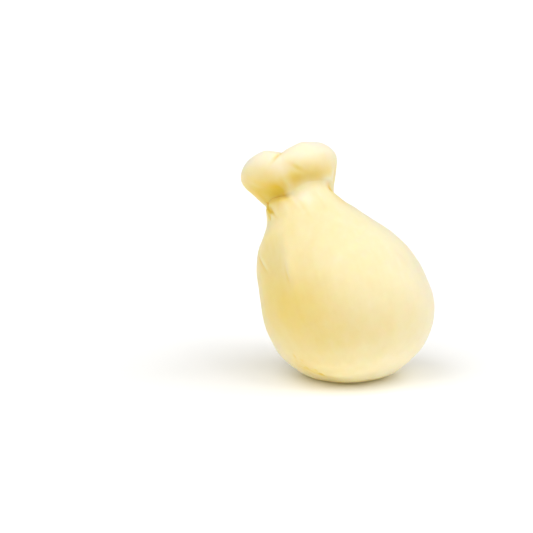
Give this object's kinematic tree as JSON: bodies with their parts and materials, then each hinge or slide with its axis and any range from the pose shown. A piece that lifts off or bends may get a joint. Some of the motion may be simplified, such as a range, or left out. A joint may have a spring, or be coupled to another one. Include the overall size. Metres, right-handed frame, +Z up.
{
  "type": "scamorza cheese",
  "caption": "Pear-shaped stretched-curd cheese with a drawn-in neck and a folded, lobed head, leaning on its belly on a small flat spot.",
  "frame": {"origin": "middle of the small flat spot that the cheese rests on, straight below the middle of its belly", "axes": "+Z up from the surface it rests on, +X to the right of the side shown, -Y towards the viewer of that side"},
  "size_m": [0.0922, 0.0883, 0.1107],
  "materials": {
    "cheese": "smooth waxy skin of a fresh cheese, pale yellow, a little deeper in the folds"
  },
  "bodies": {
    "root": {"scamorza": "cheese"}
  },
  "joints": []
}
